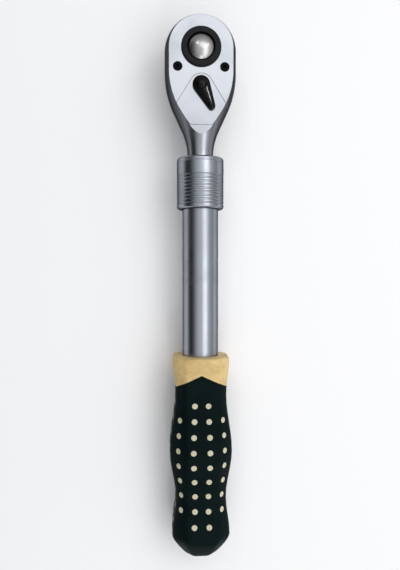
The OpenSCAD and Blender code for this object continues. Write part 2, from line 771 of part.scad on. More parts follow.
// Place of a column of the grip's surface across the section: six columns to a quarter turn,
// which follow a wide flat, the softened edges and a corner flat
function column(c, d) =
  let (w = grip_half(d))
  let (s = edge_soft)
  let (m = (w + flat_r) / 2)
  let (p = [[w, 0], [w, flat_r - s], [w - s / sqrt(2), flat_r + s / sqrt(2)], [m, m],
    [flat_r + s / sqrt(2), w - s / sqrt(2)], [flat_r - s, w]][c % 6])
  let (q = 90 * floor(c / 6))
  [p[0] * cos(q) - p[1] * sin(q), p[0] * sin(q) + p[1] * cos(q)];

// Point on the grip's surface, grown outward from the tool's axis
function grip_point(c, d, grow) =
  let (p = column(c, d))
  let (r = norm(p))
  let (share = dome_share(d) + grow / r)
  [share * p[0], grip_y - d, share * p[1]];

// Distance of the sleeve's upper edge from the grip's top, pointed at front and back, level at the sides
function sleeve_edge(c) =
  sleeve_at + sleeve_slope * abs(column(c, sleeve_at)[0]);

// Rows of points between the sleeve's edge, lowered by a gap, and the domed end
function body_rows(count, grow, gap) = [for (i = [0:count]) [for (c = [0:columns - 1])
  let (d = sleeve_edge(c) + gap)
  grip_point(c, d + (dome_at - d) * i / count, grow)]];

// Row of points at one distance from the grip's top
function grip_row(d, grow) = [for (c = [0:columns - 1]) grip_point(c, d, grow)];

// Closed skin through rows of points. The first rows split their four-sided faces the other way
module loft(rows, turned = 0) {
  count = len(rows);
  n = len(rows[0]);
  sides = [for (i = [0:count - 2]) for (k = [0:n - 1])
    let (a = n * i + k)
    let (b = n * i + (k + 1) % n)
    each i < turned ? [[a, b, b + n], [a, b + n, a + n]] : [[a, b, a + n], [b, b + n, a + n]]];
  ends = [[for (k = [n - 1:-1:0]) k], [for (k = [0:n - 1]) n * (count - 1) + k]];
  polyhedron([for (row = rows) for (p = row) p], concat(sides, ends));
}

// Rows of the surface where sleeve and core meet, at a gap from the core
function inner_rows(gap) = concat(body_rows(12, gap - sleeve_t, gap),
  [for (i = [1:3]) grip_row(dome_at + (core_end + gap - dome_at) * i / 3, gap - sleeve_t)]);

// Rows of the domed end
dome_rows = concat([for (t = [15:15:75]) grip_row(dome_at + dome_len * sin(t), 0)],
  [grip_row(dome_at + dome_len * sin(84), 0)]);

// All the dots: two in a row on each wide flat, one on each corner flat but for the end rows.
// Each is a cylinder square to the surface, from deep below it to out above it
module dots(r, deep, out) for (i = [0:dot_rows - 1]) {
  d = dot_at + i * dot_pitch;
  half = grip_half(d);
  slope = grip_half(d + 0.5) - grip_half(d - 0.5);
  for (q = [0:3]) rotate([0, 90 * q, 0]) {
    for (side = [-1, 1]) translate([side * dot_spread * half, grip_y - d, half])
      rotate([-atan(slope), 0, 0]) translate([0, 0, -deep]) cylinder(r = r, h = deep + out);
    if (i > 0 && i < dot_rows - 1) rotate([0, 45, 0]) translate([0, grip_y - d, (half + flat_r) / sqrt(2)])
      rotate([-atan(slope / sqrt(2)), 0, 0]) translate([0, 0, -deep]) cylinder(r = r, h = deep + out);
  }
}

module grip_core() color("burlywood") translate([0, 0, axis_z]) difference() {
  loft(concat([for (t = [0:30:60]) grip_row(top_round * (1 - cos(t)), -top_round * (1 - sin(t)))],
    [for (i = [0:3]) [for (c = [0:columns - 1])
      grip_point(c, top_round + (sleeve_edge(c) - band_w - top_round) * i / 3, 0)]],
    [for (up = [band_w, 0]) [for (c = [0:columns - 1]) grip_point(c, sleeve_edge(c) - up, -band_step)]],
    inner_rows(0)));
  translate([0, grip_y + 1, 0]) rotate([90, 0, 0]) cylinder(r = tube_r + seat, h = grip_y + 1 - tube_end);
}

module grip_sleeve() color("darkslategray") translate([0, 0, axis_z]) difference() {
  inner = inner_rows(2 * seat);
  count = len(inner);
  loft(concat([for (i = [count - 1:-1:0]) inner[i]], body_rows(16, 0, 2 * seat), dome_rows), count);
  dots(dot_d / 2, 2 * sleeve_t, 1);
}

module grip_dots() color("wheat") translate([0, 0, axis_z]) dots(dot_d / 2 - seat, sleeve_t - dot_seat, dot_out);

head_body();
cover_plate();
cover_screws();
thrust_washer();
drive_gear();
release_button();
button_spring();
detent_ball();
reversing_lever();
lever_snap_ring();
lever_plunger();
plunger_spring();
pawl();
outer_tube();
tube_plug();
collar_snap_ring();
lock_collar();
collar_cap();
collar_spring();
lock_ball_left();
lock_ball_right();
grip_core();
grip_sleeve();
grip_dots();
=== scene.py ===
"""Looks of a telescopic ratchet wrench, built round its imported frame.

Lengths are in metres. +Y runs from the grip to the head and +Z to the lever's side.
"""

import json
import logging
import math
from collections.abc import Iterator, Sequence
from dataclasses import dataclass
from enum import Enum, IntEnum

import bmesh
import bpy
from mathutils import Matrix, Vector


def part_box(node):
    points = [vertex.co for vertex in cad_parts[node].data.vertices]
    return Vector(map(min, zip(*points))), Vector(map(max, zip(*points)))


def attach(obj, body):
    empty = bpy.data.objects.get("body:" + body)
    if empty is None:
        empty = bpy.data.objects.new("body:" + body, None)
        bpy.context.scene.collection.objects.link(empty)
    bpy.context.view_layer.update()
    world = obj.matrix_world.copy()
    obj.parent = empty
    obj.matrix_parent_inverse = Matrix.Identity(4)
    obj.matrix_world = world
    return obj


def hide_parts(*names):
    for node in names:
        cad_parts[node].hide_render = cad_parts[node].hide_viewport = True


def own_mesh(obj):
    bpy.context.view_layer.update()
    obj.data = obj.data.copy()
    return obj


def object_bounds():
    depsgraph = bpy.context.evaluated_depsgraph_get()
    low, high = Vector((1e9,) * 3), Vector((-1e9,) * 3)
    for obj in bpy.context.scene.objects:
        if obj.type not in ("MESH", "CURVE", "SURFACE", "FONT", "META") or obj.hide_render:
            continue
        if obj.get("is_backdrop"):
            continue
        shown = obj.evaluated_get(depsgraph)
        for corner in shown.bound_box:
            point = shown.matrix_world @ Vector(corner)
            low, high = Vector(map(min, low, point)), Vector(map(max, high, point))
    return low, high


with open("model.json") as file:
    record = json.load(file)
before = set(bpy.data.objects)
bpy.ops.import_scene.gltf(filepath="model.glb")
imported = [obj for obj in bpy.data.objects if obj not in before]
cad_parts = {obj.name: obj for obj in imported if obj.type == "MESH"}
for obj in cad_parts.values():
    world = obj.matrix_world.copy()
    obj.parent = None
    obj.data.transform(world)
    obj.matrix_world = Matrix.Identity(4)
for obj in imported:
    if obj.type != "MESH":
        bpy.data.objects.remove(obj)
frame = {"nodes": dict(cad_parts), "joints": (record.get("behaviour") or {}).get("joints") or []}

CAD_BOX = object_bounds()
LOG = logging.getLogger("ratchet_wrench")
MM = 0.001
WELD = 0.002 * MM
SLIVER = 0.0005 * MM

Colour = tuple[float, float, float]
Place = tuple[float, float, float]
Stops = tuple[tuple[float, float], ...]


class Effect(Enum):
    """Shader node groups that the finishes share."""

    SOFT_EDGE = "soft_edge"
    FINE_GRAIN = "fine_grain"
    HANDLING = "handling"
    TURNED_LINES = "turned_lines"
    # painted shade: this group darkens the faces turned away from Z
    PAINTED_FLANK_SHADE = "painted_flank_shade"


class Weave(Enum):
    """Kind of tool marks left in a metal."""

    BLASTED = "blasted"
    TURNED = "turned"


class ColourMix(IntEnum):
    """Places of the sockets on a Mix node that mixes colours."""

    SHARE = 0
    FIRST = 6
    SECOND = 7
    RESULT = 2


@dataclass(frozen=True)
class NodeBench:
    """Adds nodes to a node tree and joins their sockets."""

    tree: bpy.types.NodeTree

    def fill(self, node: bpy.types.Node, inputs: dict) -> None:
        """Sets a node's inputs to plain values, or joins output sockets to them.

        Args:
            node: the node.
            inputs: numbers, vectors, colours or output sockets, by the inputs' names or places.
        """
        for key, value in inputs.items():
            socket = node.inputs[key]
            if isinstance(value, bpy.types.NodeSocket):
                self.tree.links.new(value, socket)
            elif socket.type == "RGBA":
                socket.default_value = (*value, 1.0)
            else:
                socket.default_value = value

    def add(self, kind: str, inputs: dict | None = None, **settings: object) -> bpy.types.Node:
        """Adds one node.

        Args:
            kind: the node's type name.
            inputs: what its input sockets take.
            settings: values for its properties.

        Returns:
            The new node.
        """
        node = self.tree.nodes.new(kind)
        for key, value in settings.items():
            setattr(node, key, value)
        self.fill(node, inputs or {})
        return node

    def maths(self, operation: str, *terms: object) -> bpy.types.NodeSocket:
        """Does a sum on values or sockets, and gives the result's socket."""
        return self.add("ShaderNodeMath", dict(enumerate(terms)), operation=operation).outputs[0]

    def mix(self, share: object, first: object, second: object) -> bpy.types.NodeSocket:
        """Mixes two colours.

        Args:
            share: how much of the second colour, a value or a socket.
            first: colour or socket.
            second: colour or socket.

        Returns:
            The mixed colour's socket.
        """
        inputs = {ColourMix.SHARE: share, ColourMix.FIRST: first, ColourMix.SECOND: second}
        return self.add("ShaderNodeMix", inputs, data_type="RGBA").outputs[ColourMix.RESULT]

    def group(self, effect: Effect, **inputs: float) -> bpy.types.Node:
        """Places a shared effect.

        Args:
            effect: which effect.
            inputs: its values.

        Returns:
            The group node.
        """
        values = {key.title(): value for key, value in inputs.items()}
        return self.add("ShaderNodeGroup", values, node_tree=bpy.data.node_groups[effect.value])

    def relief(self, shader: bpy.types.Node, depth: float, height: bpy.types.NodeSocket,
               normal: bpy.types.NodeSocket | None = None) -> None:
        """Gives a shader a fine relief.

        Args:
            shader: the shader node.
            depth: the relief's depth.
            height: socket of its height, from 0 to 1.
            normal: socket of the normals that it starts from, if not the mesh's own.
        """
        bump = self.add("ShaderNodeBump", {"Strength": 1.0, "Distance": depth, "Height": height})
        if normal is not None:
            self.fill(bump, {"Normal": normal})
        self.fill(shader, {"Normal": bump.outputs[0]})


@dataclass(frozen=True)
class EffectLibrary:
    """Builds each shared effect once.

    Attributes:
        edge_samples: rays that find a sharp edge.
        broad_ratio: scale of the grain's broad tone, to the grain's own.
        cloud_span: levels of noise between which a handled patch fades in.
        speck_span: distance from its centre at which a speck starts, and at which it is full.
        speck_ratio: scale of the specks, to the patches' own.
        line_ratio: scale of the turned lines across the tool, to that along it.
    """

    edge_samples: int = 6
    broad_ratio: float = 0.12
    cloud_span: tuple[float, float] = (0.35, 0.68)
    speck_span: tuple[float, float] = (0.1, 0.05)
    speck_ratio: float = 6.0
    line_ratio: float = 0.004

    def build(self) -> None:
        """Builds all the groups."""
        self._soft_edge()
        self._fine_grain()
        self._handling()
        self._turned_lines()
        self._painted_flank_shade()

    def _start(
        self, effect: Effect, inputs: dict[str, float], outputs: dict[str, str]
    ) -> tuple[NodeBench, bpy.types.Node, bpy.types.Node]:
        """Makes an empty group with its sockets.

        Args:
            effect: the group's name.
            inputs: names and first values of its float inputs.
            outputs: names and socket types of its outputs.

        Returns:
            A bench on the group, its input node and its output node.
        """
        tree = bpy.data.node_groups.new(effect.value, "ShaderNodeTree")
        for name, value in inputs.items():
            socket = tree.interface.new_socket(name, in_out="INPUT", socket_type="NodeSocketFloat")
            socket.default_value = value
        for name, kind in outputs.items():
            tree.interface.new_socket(name, in_out="OUTPUT", socket_type=kind)
        bench = NodeBench(tree)
        return bench, bench.add("NodeGroupInput"), bench.add("NodeGroupOutput")

    def _soft_edge(self) -> None:
        """Rounds sharp edges in the shading, and marks them for wear."""
        bench, given, result = self._start(
            Effect.SOFT_EDGE, {"Radius": 0.2 * MM, "Gain": 3.0},
            {"Normal": "NodeSocketVector", "Wear": "NodeSocketFloat"})
        bevel = bench.add("ShaderNodeBevel", {"Radius": given.outputs["Radius"]}, samples=self.edge_samples)
        surface = bench.add("ShaderNodeNewGeometry")
        turn = bench.add("ShaderNodeVectorMath", {0: bevel.outputs[0], 1: surface.outputs["Normal"]},
                         operation="DOT_PRODUCT")
        off = bench.maths("SUBTRACT", 1.0, turn.outputs["Value"])
        wear = bench.add("ShaderNodeClamp", {
            "Value": bench.maths("MULTIPLY", off, given.outputs["Gain"])})
        bench.fill(result, {"Normal": bevel.outputs[0], "Wear": wear.outputs[0]})

    def _fine_grain(self) -> None:
        """Even grain, as a blasted or moulded surface has."""
        bench, given, result = self._start(
            Effect.FINE_GRAIN, {"Scale": 2000.0},
            {"Height": "NodeSocketFloat", "Tone": "NodeSocketFloat"})
        place = bench.add("ShaderNodeTexCoord").outputs["Object"]
        fine = bench.add("ShaderNodeTexNoise", {
            "Vector": place, "Scale": given.outputs["Scale"], "Detail": 3.0, "Roughness": 0.6})
        broad_scale = bench.maths("MULTIPLY", given.outputs["Scale"], self.broad_ratio)
        broad = bench.add("ShaderNodeTexNoise", {"Vector": place, "Scale": broad_scale, "Detail": 2.0})
        bench.fill(result, {"Height": fine.outputs[0], "Tone": broad.outputs[0]})

    def _handling(self) -> None:
        """Broad soft patches and few small specks, as handling leaves them."""
        bench, given, result = self._start(
            Effect.HANDLING, {"Scale": 45.0}, {"Mask": "NodeSocketFloat", "Specks": "NodeSocketFloat"})
        place = bench.add("ShaderNodeTexCoord").outputs["Object"]
        cloud = bench.add("ShaderNodeTexNoise", {
            "Vector": place, "Scale": given.outputs["Scale"], "Detail": 4.0, "Distortion": 0.6})
        thin, thick = self.cloud_span
        soft = bench.add("ShaderNodeMapRange", {
            "Value": cloud.outputs[0], "From Min": thin, "From Max": thick}, interpolation_type="SMOOTHSTEP")
        speck_scale = bench.maths("MULTIPLY", given.outputs["Scale"], self.speck_ratio)
        spots = bench.add("ShaderNodeTexVoronoi", {"Vector": place, "Scale": speck_scale})
        rim, core = self.speck_span
        speck = bench.add("ShaderNodeMapRange", {
            "Value": spots.outputs["Distance"], "From Min": rim, "From Max": core})
        few = bench.maths("MULTIPLY", speck.outputs[0], soft.outputs[0])
        bench.fill(result, {"Mask": soft.outputs[0], "Specks": few})

    def _turned_lines(self) -> None:
        """Fine lines square to the tool's length, as a lathe leaves them."""
        bench, given, result = self._start(
            Effect.TURNED_LINES, {"Scale": 3000.0}, {"Height": "NodeSocketFloat"})
        place = bench.add("ShaderNodeTexCoord").outputs["Object"]
        parts = bench.add("ShaderNodeSeparateXYZ", {0: place}).outputs
        along = bench.add("ShaderNodeCombineXYZ", {
            "X": bench.maths("MULTIPLY", parts["X"], self.line_ratio),
            "Y": parts["Y"],
            "Z": bench.maths("MULTIPLY", parts["Z"], self.line_ratio)})
        lines = bench.add("ShaderNodeTexNoise", {
            "Vector": along.outputs[0], "Scale": given.outputs["Scale"], "Detail": 2.0})
        bench.fill(result, {"Height": lines.outputs[0]})

    def _painted_flank_shade(self) -> None:
        """Marks the faces square to Z. The faces turned away get painted shade, the flank colour, which
        stands for the dark reflections on the head's sides and the neck's flanks, and partly for a duller
        unground finish there.
        """
        bench, given, result = self._start(
            Effect.PAINTED_FLANK_SHADE, {"Least": 0.42, "Full": 0.86}, {"Mask": "NodeSocketFloat"})
        normal = bench.add("ShaderNodeTexCoord").outputs["Normal"]
        height = bench.add("ShaderNodeSeparateXYZ", {0: normal}).outputs["Z"]
        mask = bench.add("ShaderNodeMapRange", {
            "Value": bench.maths("ABSOLUTE", height),
            "From Min": given.outputs["Least"], "From Max": given.outputs["Full"]},
            interpolation_type="SMOOTHSTEP")
        bench.fill(result, {"Mask": mask.outputs[0]})


def new_material(name: str) -> tuple[NodeBench, bpy.types.Node, bpy.types.Material]:
    """Makes a material with one Principled shader.

    Args:
        name: the material's name.

    Returns:
        A bench on its tree, its shader node and the material.
    """
    material = bpy.data.materials.new(name)
    material.use_nodes = True
    return NodeBench(material.node_tree), material.node_tree.nodes["Principled BSDF"], material


@dataclass(frozen=True)
class MetalFinish:
    """Plated or bare metal with fine tool marks and brighter edges.

    Attributes:
        name: the material's name.
        colour: the metal's colour.
        roughness: its roughness where it is clean.
        weave: kind of its tool marks.
        edge_colour: colour of its rubbed edges.
        flank_shade_colour: painted shade on the faces turned away from Z, where it is set; it stands for
            their dark reflections, and partly for a duller unground finish.
        grazing: tint of what it mirrors at a flat angle.
        spread: roughness that handling adds.
        rubbed: roughness that the rubbed edges lose.
        handled: share of the colour that the handled patches keep.
        handling_scale: how close the handled patches are.
        grain_scale: how close the grain is.
        grain_depth: depth of the tool marks.
        grain_share: share of the grain among turned lines.
        line_scale: how close the turned lines are.
        edge_radius: radius to which sharp edges are rounded in the shading.
    """

    name: str
    colour: Colour
    roughness: float
    weave: Weave = Weave.BLASTED
    edge_colour: Colour = (0.75, 0.76, 0.78)
    flank_shade_colour: Colour | None = None
    grazing: Colour = (0.12, 0.12, 0.125)
    spread: float = 0.06
    rubbed: float = 0.1
    handled: float = 0.9
    handling_scale: float = 38.0
    grain_scale: float = 2200.0
    grain_depth: float = 0.004 * MM
    grain_share: float = 0.4
    line_scale: float = 2600.0
    edge_radius: float = 0.25 * MM

    def build(self) -> bpy.types.Material:
        """Builds the material.

        Returns:
            The finished material.
        """
        bench, shader, material = new_material(self.name)
        edge = bench.group(Effect.SOFT_EDGE, radius=self.edge_radius)
        hand = bench.group(Effect.HANDLING, scale=self.handling_scale)
        grain = bench.group(Effect.FINE_GRAIN, scale=self.grain_scale)
        darker = tuple(self.handled * level for level in self.colour)
        base = bench.mix(hand.outputs["Mask"], self.colour, darker)
        # Painted shade: faces turned away from Z take the dark flank colour, which stands for the dark
        # reflections on them.
        if self.flank_shade_colour:
            z_facing = bench.group(Effect.PAINTED_FLANK_SHADE)
            base = bench.mix(z_facing.outputs["Mask"], self.flank_shade_colour, base)
        worn = bench.maths("MULTIPLY", edge.outputs["Wear"], grain.outputs["Tone"])
        rough = bench.maths("MULTIPLY_ADD", hand.outputs["Mask"], self.spread, self.roughness)
        height = grain.outputs["Height"]
        if self.weave is Weave.TURNED:
            lines = bench.group(Effect.TURNED_LINES, scale=self.line_scale)
            height = bench.maths("MULTIPLY_ADD", height, self.grain_share, lines.outputs["Height"])
        bench.fill(shader, {
            "Base Color": bench.mix(worn, base, self.edge_colour),
            "Roughness": bench.maths("SUBTRACT", rough, bench.maths("MULTIPLY", worn, self.rubbed)),
            "Metallic": 1.0,
            "Specular Tint": self.grazing})
        bench.relief(shader, self.grain_depth, height, edge.outputs["Normal"])
        return material


@dataclass(frozen=True)
class BlackFinish:
    """Blackened or enamelled steel, rubbed brighter at its edges.

    Attributes:
        name: the material's name.
        colour: the black's colour.
        roughness: its roughness where it is clean.
        specular: strength of its gloss.
        edge_colour: colour of its rubbed edges.
        spread: roughness that handling adds.
        handling_scale: how close the handled patches are.
        grain_scale: how close the grain is.
        grain_depth: depth of the grain.
        edge_radius: radius to which sharp edges are rounded in the shading.
    """

    name: str
    colour: Colour
    roughness: float
    specular: float
    edge_colour: Colour = (0.06, 0.06, 0.065)
    spread: float = 0.05
    handling_scale: float = 70.0
    grain_scale: float = 2600.0
    grain_depth: float = 0.004 * MM
    edge_radius: float = 0.2 * MM

    def build(self) -> bpy.types.Material:
        """Builds the material.

        Returns:
            The finished material.
        """
        bench, shader, material = new_material(self.name)
        edge = bench.group(Effect.SOFT_EDGE, radius=self.edge_radius)
        hand = bench.group(Effect.HANDLING, scale=self.handling_scale)
        grain = bench.group(Effect.FINE_GRAIN, scale=self.grain_scale)
        worn = bench.maths("MULTIPLY", edge.outputs["Wear"], grain.outputs["Tone"])
        bench.fill(shader, {
            "Base Color": bench.mix(worn, self.colour, self.edge_colour),
            "Roughness": bench.maths("MULTIPLY_ADD", hand.outputs["Mask"], self.spread, self.roughness),
            "Specular IOR Level": self.specular})
        bench.relief(shader, self.grain_depth, grain.outputs["Height"], edge.outputs["Normal"])
        return material


@dataclass(frozen=True)
class MouldedFinish:
    """Moulded plastic or rubber with mottling, specks and a fine grain.

    Attributes:
        name: the material's name.
        colour: its main colour.
        mottle: colour of its mottled patches.
        roughness: its least roughness.
        specular: strength of its gloss.
        spread: roughness that the grain adds.
        mottle_scale: how close the mottled patches are.
        grain_scale: how close the grain is.
        grain_depth: depth of the grain.
        speck_share: strength of the specks.
        speck_colour: colour of the specks, and of dirt in the seams.
        seam_share: strength of the dirt along its edges and seams.
        seam_radius: width of that dirt.
    """

    name: str
    colour: Colour
    mottle: Colour
    roughness: float
    specular: float = 0.4
    spread: float = 0.1
    mottle_scale: float = 60.0
    grain_scale: float = 3200.0
    grain_depth: float = 0.012 * MM
    speck_share: float = 0.0
    speck_colour: Colour = (0.3, 0.3, 0.3)
    seam_share: float = 0.0
    seam_radius: float = 0.3 * MM

    def build(self) -> bpy.types.Material:
        """Builds the material.

        Returns:
            The finished material.
        """
        bench, shader, material = new_material(self.name)
        hand = bench.group(Effect.HANDLING, scale=self.mottle_scale)
        grain = bench.group(Effect.FINE_GRAIN, scale=self.grain_scale)
        tone = bench.maths("MULTIPLY", hand.outputs["Mask"], grain.outputs["Tone"])
        base = bench.mix(tone, self.colour, self.mottle)
        speck = bench.maths("MULTIPLY", hand.outputs["Specks"], self.speck_share)
        base = bench.mix(speck, base, self.speck_colour)
        if self.seam_share:
            edge = bench.group(Effect.SOFT_EDGE, radius=self.seam_radius)
            seam = bench.maths("MULTIPLY", edge.outputs["Wear"], self.seam_share)
            base = bench.mix(seam, base, self.speck_colour)
        bench.fill(shader, {
            "Base Color": base,
            "Roughness": bench.maths("MULTIPLY_ADD", grain.outputs["Tone"], self.spread, self.roughness),
            "Specular IOR Level": self.specular})
        bench.relief(shader, self.grain_depth, grain.outputs["Height"])
        return material


# The head's flank colour is painted shade on its sides and on the neck's flanks.
HEAD_CHROME = MetalFinish(
    "head_satin_chrome", (0.357, 0.37, 0.4), 0.22,
    flank_shade_colour=(0.11, 0.114, 0.122), grazing=(0.28, 0.282, 0.29))
TUBE_CHROME = MetalFinish(
    "tube_satin_chrome", (0.35, 0.371, 0.413), 0.25, Weave.TURNED, grain_depth=0.0012 * MM)
COLLAR_CHROME = MetalFinish(
    "collar_chrome", (0.343, 0.364, 0.4), 0.21, Weave.TURNED,
    grain_depth=0.0005 * MM, edge_radius=0.03 * MM)
BUTTON_CHROME = MetalFinish(
    "button_bright_chrome", (0.4, 0.395, 0.385), 0.26, grain_depth=0.001 * MM, grazing=(0.2, 0.2, 0.2))
BARE_STEEL = MetalFinish("bare_hardened_steel", (0.42, 0.42, 0.43), 0.3)
BLACK_OXIDE = BlackFinish("black_oxide_steel", (0.012, 0.012, 0.013), 0.4, 0.08)
SCREW_BLACK = BlackFinish(
    "screw_black_oxide", (0.002, 0.002, 0.0023), 0.34, 0.05, edge_colour=(0.012, 0.012, 0.013))
LEVER_BLACK = BlackFinish(
    "lever_black_gloss", (0.0015, 0.0015, 0.0017), 0.07, 0.15,
    edge_colour=(0.012, 0.012, 0.013), grain_depth=0.001 * MM)
BEIGE_PLASTIC = MouldedFinish(
    "beige_grip_plastic", (0.69, 0.51, 0.225), (0.45, 0.3, 0.105), 0.48,
    mottle_scale=110.0, grain_scale=4200.0,
    speck_share=0.55, speck_colour=(0.24, 0.15, 0.05), seam_share=0.55)
DOT_PLASTIC = MouldedFinish(
    "dot_plastic", (0.56, 0.53, 0.385), (0.47, 0.44, 0.31), 0.5, mottle_scale=150.0)
GREEN_RUBBER = MouldedFinish(
    "green_black_grip_rubber", (0.0008, 0.0052, 0.0056), (0.0018, 0.0085, 0.009), 0.5,
    specular=0.05, grain_depth=0.02 * MM)


def dress(piece: bpy.types.Object, material: bpy.types.Material) -> None:
    """Gives a piece one material."""
    piece.data.materials.clear()
    piece.data.materials.append(material)


def dress_nodes(material: bpy.types.Material, *nodes: str) -> None:
    """Gives CAD nodes their finish.

    Args:
        material: the finish.
        nodes: the nodes' names.
    """
    for node in nodes:
        dress(frame["nodes"][node], material)
        LOG.info("node %s: %s", node, material.name)


def joint_named(name: str) -> dict:
    """Finds a joint of the frame."""
    return next(joint for joint in frame["joints"] if joint["name"] == name)


def weld(shape: bmesh.types.BMesh) -> None:
    """Merges a shape's double vertices and takes its slivers out."""
    bmesh.ops.remove_doubles(shape, verts=shape.verts, dist=WELD)
    bmesh.ops.dissolve_degenerate(shape, edges=shape.edges, dist=SLIVER)


def copy_of_node(node: str) -> bmesh.types.BMesh:
    """Copies a CAD node's mesh and merges its loose triangles.

    Args:
        node: the node's name.

    Returns:
        The merged copy.
    """
    shape = bmesh.new()
    shape.from_mesh(frame["nodes"][node].data)
    weld(shape)
    return shape


def islands(shape: bmesh.types.BMesh) -> Iterator[list[bmesh.types.BMVert]]:
    """Goes through the separate parts of a shape.

    Args:
        shape: a mesh of several parts.

    Yields:
        The vertices of each part.
    """
    seen: set[bmesh.types.BMVert] = set()
    for start in shape.verts:
        if start in seen:
            continue
        seen.add(start)
        island = [start]
        for vert in island:
            for edge in vert.link_edges:
                other = edge.other_vert(vert)
                if other not in seen:
                    seen.add(other)
                    island.append(other)
        yield island


def between(stops: Sequence[tuple[float, float]], where: float) -> float:
    """Reads a curve given by its stops.

    Args:
        stops: places along the curve, in order, and its height at each.
        where: the place to read.

    Returns:
        The height there, and past the last stop that stop's height.
    """
    for (start, low), (end, high) in zip(stops, stops[1:]):
        if where <= end:
            return low + (high - low) * (where - start) / (end - start)
    return stops[-1][1]


def shade(shape: bmesh.types.BMesh, sharp_deg: float) -> None:
    """Shades a shape smooth but for its sharp edges.

    Args:
        shape: the mesh to shade.
        sharp_deg: least angle of an edge that stays sharp, in degrees.
    """
    sharp = math.radians(sharp_deg)
    for face in shape.faces:
        face.smooth = True
    for edge in shape.edges:
        edge.smooth = len(edge.link_faces) == 2 and edge.calc_face_angle(math.pi) < sharp


def finish_piece(shape: bmesh.types.BMesh, name: str, body: str,
                 material: bpy.types.Material, node: str) -> bpy.types.Object:
    """Turns a shape into a piece that rides on a body and stands for a CAD node.

    Args:
        shape: the finished mesh, which is freed.
        name: the piece's name.
        body: the CAD body that carries it.
        material: its finish.
        node: the CAD node that it stands for.

    Returns:
        The new piece.
    """
    mesh = bpy.data.meshes.new(name)
    shape.to_mesh(mesh)
    shape.free()
    piece = bpy.data.objects.new(name, mesh)
    bpy.context.scene.collection.objects.link(piece)
    dress(piece, material)
    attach(piece, body)
    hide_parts(node)
    piece.modifiers.new("flat_faces", "WEIGHTED_NORMAL").keep_sharp = True
    LOG.info("piece %s: %d faces on %s", name, len(mesh.polygons), body)
    return piece


@dataclass(frozen=True)
class Spring:
    """Coil spring on a body; the share of its length left as its joint moves is worked out, but the coil is
    not made to shorten.
    """

    node: str
    body: str
    joint: str
    sharp_deg: float = 40.0

    def build(self, material: bpy.types.Material) -> None:
        """Builds the coil's skin; its length is not tied to the joint.

        Args:
            material: the spring's finish.
        """
        shape = copy_of_node(self.node)
        shade(shape, self.sharp_deg)
        joint = joint_named(self.joint)
        axis = Vector(joint["axis"])
        reach = [vert.co.dot(axis) for vert in shape.verts]
        fixed = max(reach)
        keep = 1.0 - max(joint["range_m"]) / (fixed - min(reach))
        piece = finish_piece(shape, f"{self.node}_coil", self.body, material, self.node)
        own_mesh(piece)


